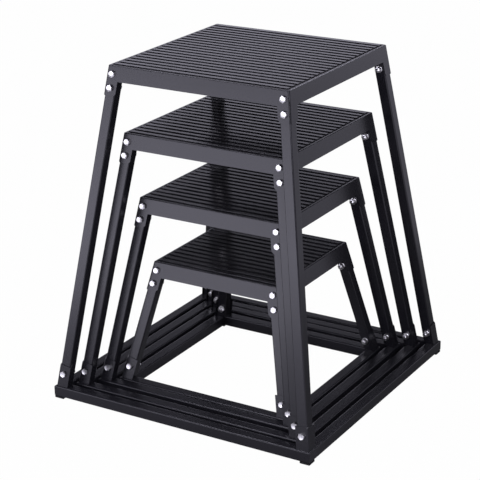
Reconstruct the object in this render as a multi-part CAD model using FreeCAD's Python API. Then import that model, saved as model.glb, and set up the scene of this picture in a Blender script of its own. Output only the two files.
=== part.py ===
"""A nested set of four square steel jump boxes, each standing loose inside the next taller one.

Every box is a flat-topped frame: a folded steel deck with a ribbed rubber mat, four leaning
square-tube legs bolted into its corner tabs, and a mitred square-tube base on rubber feet.
Millimetres, +Z up. The origin is on the floor, under the middle of the tallest box.
X runs along the bolted front faces, and Y runs to the back.
"""
import FreeCAD, Part
import math
import os
from FreeCAD import Vector

# The set: the smallest box, and what each taller one adds
box_names = ("12in", "18in", "24in", "30in")
smallest_height = 304.8
height_step = 152.4
smallest_top = 320.0
top_step = 40.0
smallest_base = 445.0
nest_gap = 8.0

# Where each box stands inside its taller neighbour, as a share of the gap between the base frames
nest_slide = {"12in": (0.2, -0.5), "18in": (-0.3, 0.7), "24in": (-0.1, 0.0), "30in": (0.0, 0.0)}

# Square tube, shared by the legs and the base
tube = 25.0
tube_wall = 1.5
tube_radius = 3.0

# Folded sheet of the deck tray and of the base brackets
sheet = 2.0
inside_bend = 2.0
skirt_depth = 32.0
tab_depth = 64.0
tab_width = 30.0
tab_chamfer = 5.0
seam_width = 1.5
seam_start = 18.0
bracket_height = 52.0
bracket_inset = 3.6

# Hemmed rim that stands up round the deck sheet and frames the mat
rim_rise = 2.0
rim_width = 6.0
rim_round = 2.0

# Stiffening tubes under the deck
brace_count = 2
brace_tube = 20.0
brace_wall = 1.5

# Ribbed rubber mat
mat_gap = 2.5
mat_base = 1.5
rib_height = 2.0
rib_width = 10.4
rib_pitch = 20.4

# Rubber feet
foot_side = 24.0
foot_height = 4.0
foot_radius = 2.0

# Hex bolts, washers and nuts
bolt_diameter = 8.0
bolt_clearance = 0.5
head_across_flats = 13.0
head_height = 5.3
washer_diameter = 16.0
washer_thickness = 1.6
washer_clearance = 0.4
nut_across_flats = 13.0
nut_height = 6.5
thread_clearance = 0.2
thread_end = 3.0
top_bolt_drop = 16.5
top_bolt_spacing = 30.0
base_bolt_rise = 30.0

# What follows from these sizes on every box
base_top = foot_height + tube
mat_height = mat_base + rib_height
ring_gap = nest_gap + sheet
bolt_inset = sheet + tube / 2
bend_radius = sheet + inside_bend
run_out = 2 * sheet

CORNERS = {"front_left": (-1, -1), "front_right": (1, -1), "back_left": (-1, 1), "back_right": (1, 1)}


class Box:
    """Sizes of one box of the set, worked out from its place in the nest."""

    def __init__(self, place):
        self.name = box_names[place]
        self.height = smallest_height + place * height_step
        self.top = smallest_top + place * top_step
        self.base = smallest_base + 2 * place * (tube + ring_gap)
        self.deck = self.height - mat_height
        self.under_deck = self.deck - sheet
        self.lean = (self.base / 2 - bracket_inset - self.top / 2) / (self.deck - base_top)
        self.tilt = math.hypot(1.0, self.lean)

    def face(self, z):
        """Half the width across the outer sheet faces at height z."""
        return self.top / 2 + self.lean * (self.deck - z)

    def bolt_heights(self):
        """Heights of the bolts of one leg, on the outer face of its tabs."""
        top_bolt = self.deck - top_bolt_drop
        return [top_bolt, top_bolt - top_bolt_spacing, base_top + base_bolt_rise]

    def offset(self):
        """How far the box stands off the middle of the set."""
        place = box_names.index(self.name)
        shares = [nest_slide[name] for name in box_names[place:]]
        return Vector(sum(s[0] for s in shares) * ring_gap, sum(s[1] for s in shares) * ring_gap, 0)


def rounded_rectangle(x0, x1, y0, y1, radius, z):
    """Closed wire of a level rectangle with round corners."""
    x0, x1 = sorted((x0, x1))
    y0, y1 = sorted((y0, y1))
    centres = ((x1 - radius, y1 - radius), (x0 + radius, y1 - radius),
               (x0 + radius, y0 + radius), (x1 - radius, y0 + radius))
    arcs = []
    for turn, (cx, cy) in enumerate(centres):
        points = []
        for step in range(3):
            angle = math.pi / 2 * (turn + step / 2)
            points.append(Vector(cx + radius * math.cos(angle), cy + radius * math.sin(angle), z))
        arcs.append(points)
    edges = []
    for turn, points in enumerate(arcs):
        edges.append(Part.Arc(*points).toShape())
        edges.append(Part.LineSegment(points[2], arcs[(turn + 1) % 4][0]).toShape())
    return Part.Wire(edges)


def rounded_square(half, radius, z):
    """Closed wire of a level square about the origin, with round corners."""
    return rounded_rectangle(-half, half, -half, half, radius, z)


def prism(points, direction):
    """Solid swept from a flat polygon along a straight direction."""
    return Part.Face(Part.makePolygon(points + points[:1])).extrude(direction)


def hollow_prism(outer, inner, direction):
    """Solid swept from a flat ring between two wires."""
    return Part.makeFace([outer, inner], "Part::FaceMakerBullseye").extrude(direction)


def lean_vector(box, corner, rise):
    """Travel along a leg, inwards and up, for a given rise."""
    return Vector(-corner[0] * box.lean * rise, -corner[1] * box.lean * rise, rise)


def bolt_points(box, corner, heights):
    """Centre of each bolt on the outer face, and the direction out of that face."""
    outwards = Vector(0, corner[1], box.lean) / box.tilt
    points = [Vector(corner[0] * (box.face(z) - bolt_inset), corner[1] * box.face(z), z) for z in heights]
    return points, outwards


def bolt_holes(box, corner, heights, depth):
    """Cutters along the bolts, from outside the face to a depth below it."""
    radius = (bolt_diameter + bolt_clearance) / 2
    points, outwards = bolt_points(box, corner, heights)
    return [Part.makeCylinder(radius, depth + run_out, point + outwards * run_out, -outwards) for point in points]


def hexagon(across_flats, height, start, axis, bore=0.0):
    """Hexagonal prism along an axis, two flats upright, with an optional bore."""
    side = Vector(1, 0, 0)
    rise = axis.cross(side)
    reach = across_flats / math.sqrt(3)
    points = []
    for turn in range(6):
        angle = math.radians(60 * turn + 30)
        points.append(start + side * (reach * math.cos(angle)) + rise * (reach * math.sin(angle)))
    body = prism(points, axis * height)
    if bore:
        body = body.cut(Part.makeCylinder(bore / 2, height + 2 * run_out, start - axis * run_out, axis))
    return body


def frustum(box, low, high, inset):
    """Solid between the leaning faces, drawn in by an inset."""
    rings = []
    for z in (low, high):
        half = box.face(z) - inset
        rings.append([Vector(half * x, half * y, z) for x, y in ((-1, -1), (1, -1), (1, 1), (-1, 1))])
    outlines = [rings[0][::-1], rings[1]]
    for side in range(4):
        after = (side + 1) % 4
        outlines.append([rings[0][side], rings[0][after], rings[1][after], rings[1][side]])
    return Part.Solid(Part.Shell([Part.Face(Part.makePolygon(points + points[:1])) for points in outlines]))


def upright_edges(body):
    """Edges of a frustum that run up its corners."""
    return [edge for edge in body.Edges if edge.BoundBox.ZLength > body.BoundBox.ZLength / 2]


def rim_edges(body, top):
    """Edges round the flat top of a body."""
    return [edge for edge in body.Edges if edge.BoundBox.ZMin > top - sheet / 10]


def tray_inside(box):
    """Space under the deck sheet and between its skirts."""
    body = frustum(box, box.deck - tab_depth - run_out, box.under_deck, sheet)
    return body.makeFillet(inside_bend, upright_edges(body))


def window(box):
    """Cutter for the openings between the corner tabs of two facing sides."""
    low = box.deck - tab_depth
    high = box.deck - skirt_depth
    reach = box.face(low) + run_out
    half = [(box.face(low) - tab_width + tab_chamfer, low - run_out),
            (box.face(low) - tab_width + tab_chamfer, low),
            (box.face(low + tab_chamfer) - tab_width, low + tab_chamfer),
            (box.face(high) - tab_width, high)]
    outline = half + [(-x, z) for x, z in reversed(half)]
    return prism([Vector(x, -reach, z) for x, z in outline], Vector(0, 2 * reach, 0))


def corner_seam(box, corner):
    """Slit between the front and side tabs of one corner."""
    low = box.deck - tab_depth - run_out
    rise = box.deck - seam_start - low
    along = Vector(corner[0], corner[1], 0) / math.sqrt(2)
    across = Vector(-along.y, along.x, 0)
    middle = Vector(corner[0] * box.face(low), corner[1] * box.face(low), low)
    reach = 2 * bend_radius
    points = []
    for a, c in ((-1, -1), (1, -1), (1, 1), (-1, 1)):
        points.append(middle + along * (a * reach) + across * (c * seam_width / 2))
    return prism(points, lean_vector(box, corner, rise))


def corner_nip(box, corner, z, upright):
    """Cutter that takes the sharp outer tip off a corner at height z, above it or below it."""
    tip = Vector(corner[0] * box.face(z), corner[1] * box.face(z), z)
    normal = Vector(corner[0], corner[1], upright) / math.sqrt(3)
    start = tip - normal * (tab_chamfer / math.sqrt(3))
    return Part.makeCylinder(2 * tab_width, 2 * tab_width, start, normal)


def mat_bed(box):
    """Shallow space inside the rim, down to the deck sheet."""
    outline = rounded_square(box.top / 2 - rim_width, inside_bend, box.deck)
    return Part.Face(outline).extrude(Vector(0, 0, rim_rise + run_out))


def deck_tray(box):
    """Deck sheet with a hemmed rim, folded down on four sides to a bolted tab at both sides of every corner."""
    low = box.deck - tab_depth
    rim_top = box.deck + rim_rise
    body = frustum(box, low, rim_top, 0.0)
    body = body.makeFillet(bend_radius, upright_edges(body))
    body = body.makeFillet(rim_round, rim_edges(body, rim_top))
    across = window(box)
    along = across.copy()
    along.rotate(Vector(0, 0, 0), Vector(0, 0, 1), 90)
    cutters = [tray_inside(box), mat_bed(box), across, along]
    for corner in CORNERS.values():
        cutters.append(corner_seam(box, corner))
        cutters.append(corner_nip(box, corner, low, -1))
        cutters.extend(bolt_holes(box, corner, box.bolt_heights()[:2], sheet + run_out))
    return body.cut(cutters)


def deck_braces(box):
    """Square tubes from the front skirt to the back one, up against the deck sheet."""
    reach = box.face(box.under_deck - brace_tube)
    half = brace_tube / 2
    inside = half - brace_wall
    middle = box.under_deck - half
    braces = []
    spacing = box.top / (brace_count + 1)
    for number in range(1, brace_count + 1):
        x = number * spacing - box.top / 2
        outer = Part.makeBox(brace_tube, 2 * reach, brace_tube, Vector(x - half, -reach, middle - half))
        bore = Part.makeBox(2 * inside, 2 * reach, 2 * inside, Vector(x - inside, -reach, middle - inside))
        braces.append(outer.cut(bore).common(tray_inside(box)))
    return braces


def grip_mat(box):
    """Rubber sheet with square ribs along X, laid inside the rim of the deck."""
    half = box.top / 2 - rim_width - mat_gap
    ribs = int((2 * half - rib_width) // rib_pitch) + 1
    floor = box.deck + mat_base
    outline = [(half, floor), (half, box.deck), (-half, box.deck), (-half, floor)]
    for number in range(ribs):
        middle = (number - (ribs - 1) / 2) * rib_pitch
        near = middle - rib_width / 2
        far = middle + rib_width / 2
        outline += [(near, floor), (near, box.height), (far, box.height), (far, floor)]
    return prism([Vector(-half, y, z) for y, z in outline], Vector(2 * half, 0, 0))


def leg(box, corner):
    """Square tube that leans in from the base to the underside of the deck."""
    outside = box.face(base_top) - sheet
    inside = outside - tube
    wires = []
    for inset, radius in ((0.0, tube_radius), (tube_wall, tube_radius - tube_wall)):
        near, far = outside - inset, inside + inset
        wires.append(rounded_rectangle(corner[0] * near, corner[0] * far, corner[1] * near, corner[1] * far,
                                       radius, base_top))
    body = hollow_prism(wires[0], wires[1], lean_vector(box, corner, box.under_deck - base_top))
    return body.cut(bolt_holes(box, corner, box.bolt_heights(), sheet + tube + run_out))


def base_rails(box):
    """Four mitred square tubes of the base frame: front, right, back and left."""
    centre = box.base / 2 - tube / 2
    middle = foot_height + tube / 2
    reach = box.base / 2 + run_out
    wires = []
    for inset, radius in ((0.0, tube_radius), (tube_wall, tube_radius - tube_wall)):
        wire = rounded_square(tube / 2 - inset, radius, 0.0)
        wire.rotate(Vector(0, 0, 0), Vector(0, 1, 0), 90)
        wire.translate(Vector(-reach, -centre, middle))
        wires.append(wire)
    front = hollow_prism(wires[0], wires[1], Vector(2 * reach, 0, 0))
    wedge = prism([Vector(-reach, -reach, 0), Vector(reach, -reach, 0), Vector(0, 0, 0)],
                  Vector(0, 0, base_top + run_out))
    front = front.common(wedge)
    rails = []
    for turn in range(4):
        rail = front.copy()
        rail.rotate(Vector(0, 0, 0), Vector(0, 0, 1), 90 * turn)
        rails.append(rail)
    return rails


def base_bracket(box, corner):
    """Bent sheet angle that stands on a base corner and takes the foot of a leg."""
    outside = box.face(base_top)
    travel = lean_vector(box, corner, 2 * bracket_height)
    wires = []
    for inset, radius in ((0.0, bend_radius), (sheet, inside_bend)):
        near, far = outside - inset, outside - 2 * tab_width + inset
        wires.append(rounded_rectangle(corner[0] * near, corner[0] * far, corner[1] * near, corner[1] * far,
                                       radius, base_top))
    near, far = outside + run_out, outside - tab_width
    square = ((near, near), (far, near), (far, far), (near, far))
    quarter = prism([Vector(corner[0] * x, corner[1] * y, base_top) for x, y in square], travel)
    body = hollow_prism(wires[0], wires[1], travel).common(quarter)
    top = base_top + bracket_height
    tip = Vector(corner[0] * box.face(top), corner[1] * box.face(top), top)
    cutters = [Part.makeCylinder(2 * tab_width, 2 * bracket_height, tip, travel)]
    cutters.append(corner_nip(box, corner, top, 1))
    cutters.extend(bolt_holes(box, corner, box.bolt_heights()[2:], sheet + run_out))
    return body.cut(cutters)


def foot(box, corner):
    """Square rubber pad under one corner of the base."""
    far = box.base / 2
    near = far - foot_side
    wire = rounded_rectangle(corner[0] * near, corner[0] * far, corner[1] * near, corner[1] * far, foot_radius, 0.0)
    return Part.Face(wire).extrude(Vector(0, 0, foot_height))


def fasteners(box):
    """Bolts, washers and nuts of one box, with every nut on the inner face of its leg."""
    grip = (sheet + tube) / box.tilt
    nut_start = grip + washer_thickness
    length = nut_start + nut_height + thread_end
    sets = {"bolts": [], "washers": [], "nuts": []}
    for corner in CORNERS.values():
        points, outwards = bolt_points(box, corner, box.bolt_heights())
        for point in points:
            shank = Part.makeCylinder(bolt_diameter / 2, length, point, -outwards)
            sets["bolts"].append(hexagon(head_across_flats, head_height, point, outwards).fuse(shank))
            seat = point - outwards * grip
            disc = Part.makeCylinder(washer_diameter / 2, washer_thickness, seat, -outwards)
            bore = Part.makeCylinder((bolt_diameter + washer_clearance) / 2, washer_thickness, seat, -outwards)
            sets["washers"].append(disc.cut(bore))
            sets["nuts"].append(hexagon(nut_across_flats, nut_height, point - outwards * nut_start, -outwards,
                                        bolt_diameter + thread_clearance))
    return sets


def box_nodes(box):
    """Every piece of one box, by name."""
    nodes = {"deck_tray": [deck_tray(box)], "deck_braces": deck_braces(box), "grip_mat": [grip_mat(box)]}
    for name, corner in CORNERS.items():
        nodes["leg_" + name] = [leg(box, corner)]
    nodes["base_frame"] = base_rails(box)
    nodes["base_brackets"] = [base_bracket(box, corner) for corner in CORNERS.values()]
    nodes["feet"] = [foot(box, corner) for corner in CORNERS.values()]
    nodes.update(fasteners(box))
    return nodes


os.makedirs("parts", exist_ok=True)
for place in range(len(box_names)):
    box = Box(place)
    for name, solids in box_nodes(box).items():
        shape = Part.makeCompound(solids)
        shape.translate(box.offset())
        shape.exportStep("parts/" + name + "_" + box.name + ".step")
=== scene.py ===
"""Dresses a nested set of four steel jump boxes.

The folded and welded steel keeps the frame's own shapes and gets a satin powder coat. The ribbed mats,
the rubber feet, the bolts, the washers and the nuts are modelled here in place of their plain solids.
Everything is in metres, in the shared frame: +Z up, the bolted faces to the front and the back.
"""
import math
import random

import bmesh
import bpy
from mathutils import Matrix, Vector


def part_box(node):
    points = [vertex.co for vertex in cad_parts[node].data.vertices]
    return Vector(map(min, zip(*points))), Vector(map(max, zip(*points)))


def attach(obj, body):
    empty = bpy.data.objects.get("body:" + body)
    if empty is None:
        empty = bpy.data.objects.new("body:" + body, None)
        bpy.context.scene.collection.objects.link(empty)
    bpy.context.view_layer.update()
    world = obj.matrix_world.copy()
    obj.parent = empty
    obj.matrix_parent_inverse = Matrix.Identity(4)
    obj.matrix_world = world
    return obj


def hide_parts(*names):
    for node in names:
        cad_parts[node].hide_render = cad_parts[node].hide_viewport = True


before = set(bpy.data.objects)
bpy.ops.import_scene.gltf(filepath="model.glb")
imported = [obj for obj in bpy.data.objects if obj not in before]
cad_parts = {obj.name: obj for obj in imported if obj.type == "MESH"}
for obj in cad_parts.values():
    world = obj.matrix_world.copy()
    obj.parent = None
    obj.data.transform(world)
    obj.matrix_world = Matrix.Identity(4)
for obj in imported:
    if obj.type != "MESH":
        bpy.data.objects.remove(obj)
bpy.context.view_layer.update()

bl_info = {
    "name": "Nested jump boxes",
    "version": (1, 0, 0),
    "blender": (4, 5, 0),
    "location": "3D View > Sidebar > Jump boxes",
    "description": "Coats the steel of a nested jump box set and fits its rubber and its fasteners",
    "category": "Object",
}

BOXES = ("12in", "18in", "24in", "30in")
STEEL = ("deck_tray", "deck_braces", "leg_front_left", "leg_front_right", "leg_back_left", "leg_back_right",
         "base_frame", "base_brackets")

# Points nearer to each other than this are one point, and places are read to as many digits
HAIR = 1e-5
HAIR_DIGITS = 5
# A face is level when its normal is at least this near to upright
LEVEL = 0.9
# Edges flatter than this are shaded smooth: on most pieces, and on the mats, whose ribs stay crisp
SMOOTH_ANGLE = math.radians(32)
FLAT_ANGLE = math.radians(5)
# Facets round a chamfer, a shank with its thread, a washer and a bore
CHAMFER_STEPS = 48
SHANK_STEPS = 24
WASHER_STEPS = 40
BORE_STEPS = 32

WHITE = (1.0, 1.0, 1.0, 1.0)
# Each softbox of the stage: where it stands, what it faces, and its width and height
SOFTBOXES = {
    "key": {"place": (-0.85, -1.7, 0.44), "target": (0.0, -0.2, 0.44), "size": (1.4, 0.88)},
    "fill": {"place": (1.8, -2.0, 1.6), "target": (0.0, 0.0, 0.4), "size": (1.6, 1.6)},
    "top": {"place": (-0.68, -0.55, 1.82), "target": (0.0, -0.22, 0.76), "size": (0.64, 0.64)},
    "back": {"place": (0.2, 1.15, 1.6), "target": (0.22, 0.0, 0.76), "size": (0.5, 0.4)},
}


class FastenerSizes(bpy.types.PropertyGroup):
    """Sizes of the bolts, washers and nuts that the frame doesn't hold."""

    flat_share: bpy.props.FloatProperty(
        name="Chamfer circle", description="Round flat on a hex end, as a share of the width across flats",
        default=0.94, min=0.7, max=1.0, subtype="FACTOR")
    chamfer_angle: bpy.props.FloatProperty(
        name="Chamfer angle", description="Slope of the chamfer on the six corners",
        default=math.radians(30), min=0.2, max=1.0, subtype="ANGLE")
    dish_inset: bpy.props.FloatProperty(
        name="Dish rim", description="Width of the rim round the shallow dish in a bolt head",
        default=0.0012, min=0.0002, max=0.003, unit="LENGTH")
    dish_depth: bpy.props.FloatProperty(
        name="Dish depth", description="Depth of the shallow dish in a bolt head",
        default=0.0003, min=0.0, max=0.001, unit="LENGTH")
    thread_pitch: bpy.props.FloatProperty(
        name="Thread pitch", description="Distance from crest to crest of the thread",
        default=0.00125, min=0.0005, max=0.003, unit="LENGTH")
    thread_depth: bpy.props.FloatProperty(
        name="Thread depth", description="Depth of the thread below its crests",
        default=0.0007, min=0.0002, max=0.0015, unit="LENGTH")
    thread_crest: bpy.props.FloatProperty(
        name="Thread crest", description="Flat on a crest of the thread, as a share of the pitch",
        default=0.1, min=0.02, max=0.5, subtype="FACTOR")
    thread_length: bpy.props.FloatProperty(
        name="Thread length", description="Length of the threaded end of a bolt",
        default=0.014, min=0.004, max=0.03, unit="LENGTH")
    edge_round: bpy.props.FloatProperty(
        name="Washer edge", description="Rounding of the stamped edges of a washer",
        default=0.0004, min=0.0001, max=0.0007, unit="LENGTH")


class RubberSizes(bpy.types.PropertyGroup):
    """Sizes of the moulded rubber that the frame doesn't hold."""

    rib_round: bpy.props.FloatProperty(
        name="Rib rounding", description="Rounding along the top edges of the mat's ribs",
        default=0.0006, min=0.0002, max=0.0018, unit="LENGTH")
    foot_corner: bpy.props.FloatProperty(
        name="Foot corner", description="Rounding of a foot's upright corners",
        default=0.002, min=0.0005, max=0.005, unit="LENGTH")
    foot_edge: bpy.props.FloatProperty(
        name="Foot edge", description="Rounding round the underside of a foot",
        default=0.0007, min=0.0002, max=0.0015, unit="LENGTH")
    tread_rim: bpy.props.FloatProperty(
        name="Tread rim", description="Width of the rim round the hollow under a foot",
        default=0.003, min=0.001, max=0.006, unit="LENGTH")
    tread_depth: bpy.props.FloatProperty(
        name="Tread depth", description="Depth of the hollow under a foot",
        default=0.0008, min=0.0, max=0.002, unit="LENGTH")


class Finishes(bpy.types.PropertyGroup):
    """Colours and gloss of the surfaces."""

    coat_colour: bpy.props.FloatVectorProperty(
        name="Coat", description="Colour of the powder coat on the steel",
        default=(0.0135, 0.0131, 0.0164), min=0.0, max=1.0, size=3, subtype="COLOR")
    coat_roughness: bpy.props.FloatProperty(
        name="Coat roughness", description="Roughness of the satin powder coat",
        default=0.25, min=0.1, max=1.0, subtype="FACTOR")
    mat_colour: bpy.props.FloatVectorProperty(
        name="Mat", description="Colour of the ribbed rubber",
        default=(0.015, 0.0145, 0.0172), min=0.0, max=1.0, size=3, subtype="COLOR")
    mat_roughness: bpy.props.FloatProperty(
        name="Mat roughness", description="Roughness of the ribbed rubber",
        default=0.17, min=0.05, max=1.0, subtype="FACTOR")
    foot_colour: bpy.props.FloatVectorProperty(
        name="Foot", description="Colour of the rubber feet",
        default=(0.014, 0.014, 0.015), min=0.0, max=1.0, size=3, subtype="COLOR")
    foot_roughness: bpy.props.FloatProperty(
        name="Foot roughness", description="Roughness of the rubber feet where they are cleanest",
        default=0.66, min=0.05, max=0.8, subtype="FACTOR")
    zinc_colour: bpy.props.FloatVectorProperty(
        name="Zinc", description="Colour of the plated fasteners",
        default=(0.89, 0.885, 0.87), min=0.0, max=1.0, size=3, subtype="COLOR")
    zinc_roughness: bpy.props.FloatProperty(
        name="Zinc roughness", description="Roughness of the plated fasteners",
        default=0.3, min=0.05, max=1.0, subtype="FACTOR")


class StageSettings(bpy.types.PropertyGroup):
    """The plain studio round the set."""

    floor_size: bpy.props.FloatProperty(
        name="Floor", description="Side of the floor", default=12.0, min=2.0, max=50.0, unit="LENGTH")
    floor_colour: bpy.props.FloatVectorProperty(
        name="Floor paint", description="Colour of the paint under the floor's white, which takes the shadow",
        default=(0.3, 0.3, 0.3), min=0.0, max=1.0, size=3, subtype="COLOR")
    ambient: bpy.props.FloatProperty(
        name="Ambient", description="Share of white with which the room lights every side",
        default=0.22, min=0.0, max=1.0, subtype="FACTOR")
    dark_share: bpy.props.FloatProperty(
        name="Dark share", description="Share of white that the dark part of the room keeps in gloss",
        default=0.05, min=0.0, max=1.0, subtype="FACTOR")
    glow: bpy.props.FloatProperty(
        name="Floor white", description="Share of plain white in the floor; the rest keeps the shadow",
        default=0.99, min=0.0, max=1.0, subtype="FACTOR")
    # Painted light and shade on the floor in gloss: a dimmer share of white behind the set, a brighter share
    # before it
    painted_gloss_behind: bpy.props.FloatProperty(
        name="Floor in gloss", description="Share of the floor's white that shows in gloss behind the set",
        default=0.57, min=0.0, max=1.0, subtype="FACTOR")
    painted_gloss_front: bpy.props.FloatProperty(
        name="Front in gloss", description="Share of the floor's white that shows in gloss before the set",
        default=0.95, min=0.0, max=1.0, subtype="FACTOR")
    painted_front_reach: bpy.props.FloatProperty(
        name="Front reach", description="Distance before the set at which the floor has its front share",
        default=0.7, min=0.1, unit="LENGTH")
    dark_side: bpy.props.FloatProperty(
        name="Dark side", description="Depth of a direction at which the room starts to show white in gloss",
        default=-0.1, min=-1.0, max=1.0)
    white_side: bpy.props.FloatProperty(
        name="White side", description="Depth of a direction at which the room is white in gloss",
        default=0.35, min=-1.0, max=1.0)
    white_rise: bpy.props.FloatProperty(
        name="Backdrop", description="Height of a direction up to which the backdrop is white in gloss",
        default=0.255, min=-1.0, max=1.0)
    white_top: bpy.props.FloatProperty(
        name="Backdrop top", description="Height of a direction at which the backdrop has ended in gloss",
        default=0.4, min=-1.0, max=1.0)
    # Painted shadow: round this middle the floor's white is taken out in gloss, fully within the first reach
    # and fading back in by the second
    painted_shade_middle: bpy.props.FloatVectorProperty(
        name="Shade middle", description="Middle of the set's shade on the floor, away from the lights",
        default=(0.2, 0.45, 0.0), size=3, subtype="XYZ", unit="LENGTH")
    painted_shade_near: bpy.props.FloatProperty(
        name="Shade", description="Reach of the set's full shade on the floor in gloss",
        default=0.6, min=0.0, unit="LENGTH")
    painted_shade_far: bpy.props.FloatProperty(
        name="Shade end", description="Distance at which the floor is out of the set's shade in gloss",
        default=1.4, min=0.1, unit="LENGTH")
    key_power: bpy.props.FloatProperty(
        name="Key light", description="Power of the softbox at the front left",
        default=10.7, min=0.0, subtype="POWER")
    fill_power: bpy.props.FloatProperty(
        name="Fill light", description="Power of the broad light at the front right",
        default=34.0, min=0.0, subtype="POWER")
    top_power: bpy.props.FloatProperty(
        name="Top light", description="Power of the softbox over the top deck",
        default=9.0, min=0.0, subtype="POWER")
    back_power: bpy.props.FloatProperty(
        name="Back light", description="Power of the softbox behind the set",
        default=4.5, min=0.0, subtype="POWER")
    light_colour: bpy.props.FloatVectorProperty(
        name="Light", description="Slightly cool colour of the lamps, and of the room and the floor in gloss",
        default=(0.86, 0.84, 1.0), min=0.0, max=1.0, size=3, subtype="COLOR")
    lens: bpy.props.FloatProperty(
        name="Lens", description="Focal length of the camera",
        default=121.11, min=20.0, max=300.0, unit="CAMERA")
    camera_place: bpy.props.FloatVectorProperty(
        name="Camera", description="Place of the camera",
        default=(1.7385, -2.9346, 1.6092), size=3, subtype="XYZ", unit="LENGTH")
    azimuth: bpy.props.FloatProperty(
        name="Azimuth", description="Turn of the camera from the front towards the right",
        default=math.radians(31.0908), subtype="ANGLE")
    elevation: bpy.props.FloatProperty(
        name="Elevation", description="Angle at which the camera looks down",
        default=math.radians(20.5245), subtype="ANGLE")
    roll: bpy.props.FloatProperty(
        name="Roll", description="Lean of the camera about its line of sight",
        default=math.radians(-0.6778), subtype="ANGLE")


class JumpBoxSettings(bpy.types.PropertyGroup):
    """Everything that can be changed on the dressed set."""

    fasteners: bpy.props.PointerProperty(type=FastenerSizes)
    rubber: bpy.props.PointerProperty(type=RubberSizes)
    finishes: bpy.props.PointerProperty(type=Finishes)
    stage: bpy.props.PointerProperty(type=StageSettings)


class Value:
    """A number in a shader: sums and products of it add Math nodes."""

    def __init__(self, finish, socket):
        self.finish = finish
        self.socket = socket

    def math(self, operation, first, second):
        return self.finish.node("ShaderNodeMath", {"operation": operation}, {0: first, 1: second})

    def __add__(self, other):
        return self.math("ADD", self, other)

    def __radd__(self, other):
        return self.math("ADD", other, self)

    def __sub__(self, other):
        return self.math("SUBTRACT", self, other)

    def __rsub__(self, other):
        return self.math("SUBTRACT", other, self)

    def __mul__(self, other):
        return self.math("MULTIPLY", self, other)

    def __rmul__(self, other):
        return self.math("MULTIPLY", other, self)


class Finish:
    """One node tree and the nodes that it is made of."""

    def __init__(self, owner):
        owner.use_nodes = True
        self.owner = owner
        self.tree = owner.node_tree
        self.tree.nodes.clear()

    def node(self, kind, settings, sockets, output=0):
        """Adds a node, sets it up, joins its sockets and gives back one of its outputs."""
        made = self.tree.nodes.new(kind)
        for name, setting in settings.items():
            setattr(made, name, setting)
        for key, given in sockets.items():
            if isinstance(given, Value):
                self.tree.links.new(given.socket, made.inputs[key])
            else:
                made.inputs[key].default_value = given
        return Value(self, made.outputs[output]) if made.outputs else made

    def place(self):
        return self.node("ShaderNodeTexCoord", {}, {}, "Object")

    def noise(self, scale, detail=2.0):
        """Grey noise about a half, with so many lumps to the metre."""
        sockets = {"Vector": self.place(), "Scale": scale, "Detail": detail}
        return self.node("ShaderNodeTexNoise", {}, sockets, "Fac")

    def blend(self, share, first, second):
        """A colour between two colours."""
        sockets = {"Factor": share, 6: first, 7: second}
        return self.node("ShaderNodeMix", {"data_type": "RGBA"}, sockets, 2)

    def mottle(self, share, colour, darkest, lightest):
        """A colour that wanders between a darker and a lighter shade of itself."""
        return self.blend(share, shade(colour, darkest), shade(colour, lightest))

    def bump(self, height, depth, strength):
        return self.node("ShaderNodeBump", {}, {"Height": height, "Distance": depth, "Strength": strength})

    def surface(self, sockets):
        shader = self.node("ShaderNodeBsdfPrincipled", {}, sockets)
        self.node("ShaderNodeOutputMaterial", {}, {"Surface": shader})
        return self.owner


def shade(colour, share=1.0):
    """A colour with an alpha of one, made lighter or darker by a share."""
    return tuple(channel * share for channel in colour) + (1.0,)


def powder_coat(finishes):
    """Black satin powder: a faint orange peel and a slow drift of gloss."""
    finish = Finish(bpy.data.materials.new("satin_powder_coat"))
    drift = finish.noise(scale=6.0)
    peel = finish.noise(scale=420.0, detail=3.0)
    speck = finish.noise(scale=1500.0, detail=1.0)
    tone = drift * 0.6 + speck * 0.4
    return finish.surface({
        "Base Color": finish.mottle(tone, finishes.coat_colour, darkest=0.86, lightest=1.14),
        "Roughness": finishes.coat_roughness - 0.06 + drift * 0.07 + peel * 0.05,
        "IOR": 1.48,
        "Normal": finish.bump(peel * 0.8 + speck * 0.2, depth=0.0002, strength=0.12)})


def mat_rubber(finishes):
    """Ribbed rubber: fine moulded grain, slightly smoother in patches."""
    finish = Finish(bpy.data.materials.new("ribbed_rubber"))
    patch = finish.noise(scale=14.0)
    grain = finish.noise(scale=1100.0, detail=3.0)
    tone = patch * 0.5 + grain * 0.5
    return finish.surface({
        "Base Color": finish.mottle(tone, finishes.mat_colour, darkest=0.8, lightest=1.2),
        "Roughness": finishes.mat_roughness - 0.03 + patch * 0.03 + grain * 0.03,
        "Specular IOR Level": 0.41,
        "Normal": finish.bump(grain, depth=0.00025, strength=0.03)})


def foot_rubber(finishes):
    """Plain rubber of the feet, dull and a little dusty."""
    finish = Finish(bpy.data.materials.new("foot_rubber"))
    dust = finish.noise(scale=90.0, detail=4.0)
    grain = finish.noise(scale=1300.0)
    return finish.surface({
        "Base Color": finish.mottle(dust, finishes.foot_colour, darkest=0.8, lightest=1.5),
        "Roughness": finishes.foot_roughness + dust * 0.2,
        "Normal": finish.bump(grain, depth=0.0003, strength=0.4)})


def bright_zinc(finishes):
    """Bright zinc plate: fine turning marks and a faint change of tone."""
    finish = Finish(bpy.data.materials.new("bright_zinc"))
    tone = finish.noise(scale=160.0)
    marks = finish.noise(scale=2600.0)
    return finish.surface({
        "Base Color": finish.mottle(tone, finishes.zinc_colour, darkest=0.9, lightest=1.1),
        "Metallic": 1.0,
        "Roughness": finishes.zinc_roughness - 0.08 + tone * 0.1 + marks * 0.06,
        "Normal": finish.bump(marks, depth=0.00008, strength=0.25)})


def deselect():
    bpy.ops.object.select_all(action="DESELECT")


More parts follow.
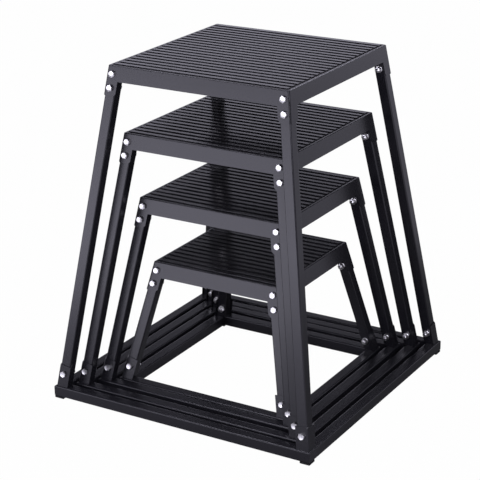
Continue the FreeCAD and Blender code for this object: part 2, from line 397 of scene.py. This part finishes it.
def single_out(piece):
    """Makes one object the only one selected, and active."""
    deselect()
    piece.select_set(True)
    bpy.context.view_layer.objects.active = piece


def settle(piece):
    """Puts a piece's place, turn and size into its mesh."""
    single_out(piece)
    bpy.ops.object.transform_apply(location=True, rotation=True, scale=True)
    return piece


def block(low, high):
    """A cube drawn out between two corners."""
    deselect()
    bpy.ops.mesh.primitive_cube_add(size=1.0, location=(low + high) / 2)
    bpy.context.object.scale = high - low
    return settle(bpy.context.object)


def edit(piece):
    single_out(piece)
    bpy.ops.object.mode_set(mode="EDIT")


def leave():
    bpy.ops.object.mode_set(mode="OBJECT")


def choose(piece, kind, test):
    """Selects the faces or the edges of a piece in edit mode that pass a test."""
    bpy.ops.mesh.select_mode(type={"faces": "FACE", "edges": "EDGE"}[kind])
    bpy.ops.mesh.select_all(action="DESELECT")
    mesh = bmesh.from_edit_mesh(piece.data)
    mesh.normal_update()
    for item in getattr(mesh, kind):
        if test(item):
            item.select_set(True)
    bmesh.update_edit_mesh(piece.data)


def cut_with(piece, tool, operation):
    """Joins, cuts or trims a piece with another one, which goes away."""
    single_out(piece)
    trim = piece.modifiers.new("trim", "BOOLEAN")
    trim.operation = operation
    trim.solver = "EXACT"
    trim.object = tool
    bpy.ops.object.modifier_apply(modifier=trim.name)
    bpy.data.objects.remove(tool)


def turned(profile, steps):
    """A closed body turned about Z from a line of (radius, height) points."""
    deselect()
    bpy.ops.mesh.primitive_plane_add(size=1.0)
    piece = bpy.context.object
    line = bmesh.new()
    spots = [line.verts.new((radius, 0.0, height)) for radius, height in profile]
    for first, second in zip(spots, spots[1:]):
        line.edges.new((first, second))
    line.to_mesh(piece.data)
    line.free()
    edit(piece)
    bpy.ops.mesh.select_all(action="SELECT")
    bpy.ops.mesh.spin(steps=steps, angle=2 * math.pi, center=(0, 0, 0), axis=(0, 0, 1))
    bpy.ops.mesh.select_all(action="SELECT")
    bpy.ops.mesh.remove_doubles(threshold=HAIR)
    bpy.ops.mesh.normals_make_consistent(inside=False)
    leave()
    return piece


def solids(node):
    """The points of each separate solid of a CAD node, in the order of its mesh, which every run keeps."""
    merged = bmesh.new()
    merged.from_mesh(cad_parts[node].data)
    bmesh.ops.remove_doubles(merged, verts=merged.verts[:], dist=HAIR)
    left = set(merged.verts)
    found = []
    for start in merged.verts:
        if start not in left:
            continue
        left.remove(start)
        grown = [start]
        for spot in grown:
            for edge in spot.link_edges:
                other = edge.other_vert(spot)
                if other in left:
                    left.remove(other)
                    grown.append(other)
        found.append([spot.co.copy() for spot in grown])
    merged.free()
    return found


def span(points, axis):
    """Lowest and highest place of some points along an axis."""
    reach = [point.dot(axis) for point in points]
    return min(reach), max(reach)


class Station:
    """Where one fastener sits: a frame whose Z points out of the bolted face."""

    def __init__(self, points, outwards):
        across = Vector((1, 0, 0))
        rise = outwards.cross(across)
        self.points = points
        self.outwards = outwards
        self.low, self.high = span(points, outwards)
        self.width = span(points, across)[1] - span(points, across)[0]
        self.axis = across * (sum(span(points, across)) / 2) + rise * (sum(span(points, rise)) / 2)
        self.turn = Matrix((across, rise, outwards)).transposed().to_4x4()

    def reach(self, point):
        """Distance of a point from the fastener's axis."""
        off = point - self.axis
        return (off - self.outwards * off.dot(self.outwards)).length

    def head(self):
        """Lower and upper end of a hex head, the only part whose corners reach past half its width."""
        corners = [point for point in self.points if self.reach(point) > self.width / 2 + HAIR]
        return span(corners, self.outwards)

    def at(self, height, spin):
        """Place of a pattern that stands on its own Z at a height along the axis."""
        place = Matrix.Translation(self.axis + self.outwards * height)
        return place @ self.turn @ Matrix.Rotation(spin, 4, "Z")


def stations(group, box):
    """Every fastener of one kind on one box."""
    clouds = solids(group + "_" + box)
    middle = sum(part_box("deck_tray_" + box), Vector()) / 2
    places = [sum(cloud, Vector()) / len(cloud) for cloud in clouds]
    right_front = [place for place in places if place.x > middle.x and place.y < middle.y]
    top = max(right_front, key=lambda place: place.z)
    foot = min(right_front, key=lambda place: place.z)
    lean = (top.y - foot.y) / (top.z - foot.z)
    found = []
    for cloud, place in zip(clouds, places):
        side = math.copysign(1.0, place.y - middle.y)
        found.append(Station(cloud, Vector((0, side, lean)).normalized()))
    return found


def hex_blank(across_flats, height, sizes, both_ends):
    """A hex prism on the floor whose corners are chamfered at the top, or at both ends."""
    spare = height / 10
    deselect()
    bpy.ops.mesh.primitive_cylinder_add(
        vertices=6, radius=across_flats / math.sqrt(3), depth=height + spare * (2 if both_ends else 1),
        location=(0, 0, height / 2 + (0 if both_ends else spare / 2)), rotation=(0, 0, math.radians(30)))
    piece = settle(bpy.context.object)
    flat = across_flats * sizes.flat_share / 2
    # The prism is a little too long, and each cone trims one end of it to height
    for end in (1, -1) if both_ends else (1,):
        depth = height + spare
        widening = depth / math.tan(sizes.chamfer_angle)
        deselect()
        bpy.ops.mesh.primitive_cone_add(
            vertices=CHAMFER_STEPS, radius1=flat + widening, radius2=flat, depth=depth,
            location=(0, 0, height / 2 - end * spare / 2), rotation=(0 if end > 0 else math.pi, 0, 0))
        cut_with(piece, settle(bpy.context.object), "INTERSECT")
    return piece


def bolt_pattern(station, sizes):
    """A hex bolt: the head stands on the floor, and the shank with its thread goes down from it."""
    tip = [point for point in station.points if point.dot(station.outwards) < station.low + HAIR]
    shank_radius = min(station.reach(point) for point in tip)
    head_low, head_high = station.head()
    head_height = head_high - head_low
    length = head_low - station.low
    piece = hex_blank(station.width, head_height, sizes, False)
    edit(piece)
    choose(piece, "faces", lambda face: face.normal.z > LEVEL)
    bpy.ops.mesh.inset(thickness=sizes.dish_inset)
    bpy.ops.transform.translate(value=(0, 0, -sizes.dish_depth))
    leave()
    pitch = sizes.thread_pitch
    root = shank_radius - sizes.thread_depth
    profile = [(0.0, -length), (root, -length)]
    turns = int(sizes.thread_length / pitch)
    for turn in range(turns):
        foot = -length + turn * pitch
        profile.append((shank_radius, foot + pitch * (1 - sizes.thread_crest) / 2))
        profile.append((shank_radius, foot + pitch * (1 + sizes.thread_crest) / 2))
        profile.append((root, foot + pitch))
    profile += [(shank_radius, -length + turns * pitch + sizes.thread_depth),
                (shank_radius, head_height / 2), (0.0, head_height / 2)]
    cut_with(piece, turned(profile, SHANK_STEPS), "UNION")
    return piece


def washer_pattern(station, sizes):
    """A stamped washer that stands on the floor."""
    outer = station.width / 2
    inner = min(station.reach(point) for point in station.points)
    thick = station.high - station.low
    edge = sizes.edge_round
    profile = [(inner, 0.0), (outer - edge, 0.0), (outer, edge), (outer, thick - edge), (outer - edge, thick),
               (inner + edge, thick), (inner, thick - edge), (inner, 0.0)]
    return turned(profile, WASHER_STEPS)


def nut_pattern(station, sizes):
    """A hex nut that stands on the floor, chamfered at both ends and bored."""
    height = station.high - station.low
    bore = min(station.reach(point) for point in station.points)
    piece = hex_blank(station.width, height, sizes, True)
    sink = sizes.thread_depth
    profile = [(0.0, -sink), (bore + 2 * sink, -sink), (bore, sink), (bore, height - sink),
               (bore + 2 * sink, height + sink), (0.0, height + sink)]
    cut_with(piece, turned(profile, BORE_STEPS), "DIFFERENCE")
    return piece


def gather(pattern, places, name):
    """Copies a pattern to every place and joins the copies into one piece."""
    parts = []
    for place in places:
        mesh = pattern.data.copy()
        mesh.transform(place)
        part = bpy.data.objects.new(name, mesh)
        bpy.context.scene.collection.objects.link(part)
        parts.append(part)
    deselect()
    for part in parts:
        part.select_set(True)
    bpy.context.view_layer.objects.active = parts[0]
    bpy.ops.object.join()
    piece = bpy.context.object
    piece.name = name
    return piece


def dress(piece, finish, box, node, smooth_angle=SMOOTH_ANGLE):
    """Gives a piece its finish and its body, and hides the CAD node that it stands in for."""
    single_out(piece)
    bpy.ops.object.shade_smooth_by_angle(angle=smooth_angle)
    piece.data.materials.clear()
    piece.data.materials.append(finish)
    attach(piece, "box_" + box)
    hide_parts(node)


def fit_fasteners(group, name, pattern_of, level_of, seed):
    """Fits one kind of fastener to all four boxes, each turned its own way."""
    settings = bpy.context.scene.jump_boxes
    finish = bpy.data.materials.get("bright_zinc") or bright_zinc(settings.finishes)
    turns = random.Random(seed)
    for box in BOXES:
        found = stations(group, box)
        pattern = pattern_of(found[0], settings.fasteners)
        places = [station.at(level_of(station), turns.uniform(0, math.pi)) for station in found]
        piece = gather(pattern, places, name + "_" + box)
        bpy.data.objects.remove(pattern)
        dress(piece, finish, box, group + "_" + box)


class JUMPBOXES_OT_coat_steel(bpy.types.Operator):
    """Coat every folded, bent and welded steel piece"""

    bl_idname = "jump_boxes.coat_steel"
    bl_label = "Coat the steel"

    def execute(self, context):
        coat = powder_coat(context.scene.jump_boxes.finishes)
        for box in BOXES:
            for group in STEEL:
                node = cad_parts[group + "_" + box]
                for place in node.material_slots:
                    place.material = coat
        return {"FINISHED"}


class JUMPBOXES_OT_lay_mats(bpy.types.Operator):
    """Mould the ribbed rubber mat of every deck"""

    bl_idname = "jump_boxes.lay_mats"
    bl_label = "Lay the ribbed mats"

    def execute(self, context):
        settings = context.scene.jump_boxes
        finish = mat_rubber(settings.finishes)
        for box in BOXES:
            node = "grip_mat_" + box
            low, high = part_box(node)
            points = [spot.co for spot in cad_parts[node].data.vertices]
            crest = [point for point in points if point.z > high.z - HAIR]
            floor = min(point.z for point in points if point.z > low.z + HAIR)
            edges = sorted({round(point.y, HAIR_DIGITS) for point in crest})
            ribs = list(zip(edges[::2], edges[1::2]))
            piece = block(low, Vector((high.x, high.y, floor)))
            edit(piece)
            for place in edges:
                bpy.ops.mesh.select_all(action="SELECT")
                bpy.ops.mesh.bisect(plane_co=(0, place, 0), plane_no=(0, 1, 0))
            choose(piece, "faces", lambda face: face.normal.z > LEVEL and any(
                near < face.calc_center_median().y < far for near, far in ribs))
            bpy.ops.mesh.extrude_region_move(TRANSFORM_OT_translate={"value": (0, 0, high.z - floor)})
            choose(piece, "edges", lambda edge: all(spot.co.z > high.z - HAIR for spot in edge.verts))
            bpy.ops.mesh.bevel(offset=settings.rubber.rib_round, segments=3, affect="EDGES")
            leave()
            piece.name = "ribbed_mat_" + box
            dress(piece, finish, box, node, FLAT_ANGLE)
        return {"FINISHED"}


class JUMPBOXES_OT_fit_feet(bpy.types.Operator):
    """Mould the rubber feet under every base"""

    bl_idname = "jump_boxes.fit_feet"
    bl_label = "Fit the rubber feet"

    def execute(self, context):
        settings = context.scene.jump_boxes
        sizes = settings.rubber
        finish = foot_rubber(settings.finishes)
        axes = (Vector((1, 0, 0)), Vector((0, 1, 0)), Vector((0, 0, 1)))
        for box in BOXES:
            node = "feet_" + box
            clouds = solids(node)
            reach = [span(clouds[0], axis) for axis in axes]
            size = Vector([high - low for low, high in reach])
            pattern = block(Vector((-size.x / 2, -size.y / 2, 0)), Vector((size.x / 2, size.y / 2, size.z)))
            edit(pattern)
            choose(pattern, "edges", lambda edge: abs(edge.verts[0].co.z - edge.verts[1].co.z) > HAIR)
            bpy.ops.mesh.bevel(offset=sizes.foot_corner, segments=5, affect="EDGES")
            choose(pattern, "edges", lambda edge: all(spot.co.z < HAIR for spot in edge.verts))
            bpy.ops.mesh.bevel(offset=sizes.foot_edge, segments=3, affect="EDGES")
            choose(pattern, "faces", lambda face: (
                face.normal.z < -LEVEL and face.calc_center_median().z < HAIR))
            bpy.ops.mesh.inset(thickness=sizes.tread_rim)
            bpy.ops.mesh.extrude_region_move(TRANSFORM_OT_translate={"value": (0, 0, sizes.tread_depth)})
            leave()
            places = []
            for cloud in clouds:
                middle = [sum(span(cloud, axis)) / 2 for axis in axes]
                places.append(Matrix.Translation((middle[0], middle[1], span(cloud, axes[2])[0])))
            piece = gather(pattern, places, "rubber_feet_" + box)
            bpy.data.objects.remove(pattern)
            dress(piece, finish, box, node)
        return {"FINISHED"}


class JUMPBOXES_OT_fit_bolts(bpy.types.Operator):
    """Fit the hex bolts of every leg"""

    bl_idname = "jump_boxes.fit_bolts"
    bl_label = "Fit the hex bolts"

    def execute(self, context):
        fit_fasteners("bolts", "hex_bolts", bolt_pattern, lambda station: station.head()[0], seed=3)
        return {"FINISHED"}


class JUMPBOXES_OT_fit_washers(bpy.types.Operator):
    """Fit the washers on the inner faces of every leg"""

    bl_idname = "jump_boxes.fit_washers"
    bl_label = "Fit the washers"

    def execute(self, context):
        fit_fasteners("washers", "flat_washers", washer_pattern, lambda station: station.low, seed=5)
        return {"FINISHED"}


class JUMPBOXES_OT_fit_nuts(bpy.types.Operator):
    """Fit the hex nuts on the washers of every leg"""

    bl_idname = "jump_boxes.fit_nuts"
    bl_label = "Fit the hex nuts"

    def execute(self, context):
        fit_fasteners("nuts", "hex_nuts", nut_pattern, lambda station: station.low, seed=7)
        return {"FINISHED"}


class JUMPBOXES_OT_set_stage(bpy.types.Operator):
    """Set up the floor, the soft lights and the camera"""

    bl_idname = "jump_boxes.set_stage"
    bl_label = "Set the stage"

    def execute(self, context):
        settings = context.scene.jump_boxes.stage
        self.white_room(context, settings)
        self.floor(settings)
        for name, setup in SOFTBOXES.items():
            self.softbox(settings, name, **setup)
        self.camera(context, settings)
        context.scene.view_settings.view_transform = "Standard"
        return {"FINISHED"}

    def ray(self, finish, kind):
        return finish.node("ShaderNodeLightPath", {}, {}, kind)

    def along(self, finish, axis):
        """Reading of a point of the floor, or of a direction into the room, along one axis."""
        return finish.node("ShaderNodeSeparateXYZ", {}, {"Vector": finish.place()}, axis)

    def tint(self, finish, settings):
        """White to the camera, and the colour of the lights in gloss."""
        return finish.blend(self.ray(finish, "Is Glossy Ray"), WHITE, shade(settings.light_colour))

    def ramp(self, finish, value, start, end):
        """A soft rise from nought to one between two readings of a value."""
        sockets = {"Value": value, "From Min": start, "From Max": end}
        return finish.node("ShaderNodeMapRange", {"interpolation_type": "SMOOTHSTEP"}, sockets)

    def seen(self, finish, mirrored):
        """The white that the camera sees, and the part of it that shows in gloss."""
        straight = self.ray(finish, "Is Camera Ray") + self.ray(finish, "Is Transmission Ray")
        whole = straight + self.ray(finish, "Is Glossy Ray") * mirrored
        return finish.node("ShaderNodeMath", {"operation": "MINIMUM"}, {0: whole, 1: 1.0})

    def white_room(self, context, settings):
        """White all round to the camera. In gloss it is white low down behind the set, and dark elsewhere."""
        world = bpy.data.worlds.new("white_room")
        finish = Finish(world)
        behind = self.ramp(finish, self.along(finish, "Y"), settings.dark_side, settings.white_side)
        low = self.ramp(finish, self.along(finish, "Z"), settings.white_top, settings.white_rise)
        seen = self.seen(finish, behind * low * low)
        glossy = self.ray(finish, "Is Glossy Ray")
        rest = settings.ambient - glossy * (settings.ambient - settings.dark_share)
        strength = finish.node("ShaderNodeMath", {"operation": "MAXIMUM"}, {0: seen, 1: rest})
        sockets = {"Color": self.tint(finish, settings), "Strength": strength}
        light = finish.node("ShaderNodeBackground", {}, sockets)
        finish.node("ShaderNodeOutputWorld", {}, {"Surface": light})
        context.scene.world = world

    def floor(self, settings):
        """A pale floor whose paint keeps the shadow of the set. In gloss its white has a painted shadow
        behind and under the set, and is painted brighter before it.
        """
        deselect()
        bpy.ops.mesh.primitive_plane_add(size=settings.floor_size)
        floor = bpy.context.object
        floor.name = "floor"
        finish = Finish(bpy.data.materials.new("pale_floor"))
        paint = finish.node("ShaderNodeBsdfDiffuse", {}, {"Color": shade(settings.floor_colour)})
        glow = finish.node("ShaderNodeEmission", {}, {"Color": self.tint(finish, settings), "Strength": 1.0})
        # Painted shadow: the floor's white in gloss fades out towards a middle behind the set
        away = finish.node("ShaderNodeVectorMath", {"operation": "DISTANCE"},
                           {0: finish.place(), 1: settings.painted_shade_middle}, "Value")
        outside_painted_shade = self.ramp(finish, away, settings.painted_shade_near, settings.painted_shade_far)
        # Painted light: the floor's white in gloss is brighter before the set than behind it
        front = self.ramp(finish, self.along(finish, "Y"), 0.0, -settings.painted_front_reach)
        level = settings.painted_gloss_behind + front * (settings.painted_gloss_front - settings.painted_gloss_behind)
        share = self.seen(finish, outside_painted_shade * level) * settings.glow
        mixed = finish.node("ShaderNodeMixShader", {}, {0: share, 1: paint, 2: glow})
        finish.node("ShaderNodeOutputMaterial", {}, {"Surface": mixed})
        floor.data.materials.append(finish.owner)

    def softbox(self, settings, name, place, target, size):
        """A lamp that stands at a place, faces a target and has the power set under its name."""
        lamp = bpy.data.lights.new(name + "_light", "AREA")
        lamp.shape = "RECTANGLE"
        lamp.size, lamp.size_y = size
        lamp.energy = getattr(settings, name + "_power")
        lamp.color = settings.light_colour
        stand = bpy.data.objects.new(name + "_light", lamp)
        stand.location = place
        stand.rotation_euler = (Vector(target) - stand.location).to_track_quat("-Z", "Y").to_euler()
        bpy.context.scene.collection.objects.link(stand)

    def camera(self, context, settings):
        """The camera stands at the front right and looks down on the set."""
        azimuth, elevation, roll = settings.azimuth, settings.elevation, settings.roll
        level = Vector((math.cos(azimuth), math.sin(azimuth), 0.0))
        outwards = Vector((math.sin(azimuth), -math.cos(azimuth), 0.0))
        back = outwards * math.cos(elevation) + Vector((0.0, 0.0, math.sin(elevation)))
        rise = back.cross(level)
        right = level * math.cos(roll) + rise * math.sin(roll)
        up = rise * math.cos(roll) - level * math.sin(roll)
        camera = bpy.data.objects.new("camera", bpy.data.cameras.new("camera"))
        camera.data.lens = settings.lens
        camera.data.sensor_width = 36.0
        turn = Matrix((right, up, back)).transposed().to_4x4()
        camera.matrix_world = Matrix.Translation(settings.camera_place) @ turn
        context.scene.collection.objects.link(camera)
        context.scene.camera = camera


class JUMPBOXES_PT_sidebar(bpy.types.Panel):
    """Lists the sizes, the finishes and the steps of the dressed set"""

    bl_label = "Jump boxes"
    bl_space_type = "VIEW_3D"
    bl_region_type = "UI"
    bl_category = "Jump boxes"

    def draw(self, context):
        settings = context.scene.jump_boxes
        for group in (settings.fasteners, settings.rubber, settings.finishes, settings.stage):
            column = self.layout.column(align=True)
            for name in group.__annotations__:
                column.prop(group, name)
        for operator in OPERATORS:
            self.layout.operator(operator.bl_idname)


OPERATORS = (JUMPBOXES_OT_coat_steel, JUMPBOXES_OT_lay_mats, JUMPBOXES_OT_fit_feet, JUMPBOXES_OT_fit_bolts,
             JUMPBOXES_OT_fit_washers, JUMPBOXES_OT_fit_nuts, JUMPBOXES_OT_set_stage)
CLASSES = (FastenerSizes, RubberSizes, Finishes, StageSettings, JumpBoxSettings,
           *OPERATORS, JUMPBOXES_PT_sidebar)


def register():
    for made in CLASSES:
        bpy.utils.register_class(made)
    bpy.types.Scene.jump_boxes = bpy.props.PointerProperty(type=JumpBoxSettings)


def unregister():
    del bpy.types.Scene.jump_boxes
    for made in reversed(CLASSES):
        bpy.utils.unregister_class(made)


def main():
    register()
    bpy.ops.jump_boxes.coat_steel()
    bpy.ops.jump_boxes.lay_mats()
    bpy.ops.jump_boxes.fit_feet()
    bpy.ops.jump_boxes.fit_bolts()
    bpy.ops.jump_boxes.fit_washers()
    bpy.ops.jump_boxes.fit_nuts()
    bpy.ops.jump_boxes.set_stage()


if __name__ == "__main__":
    main()
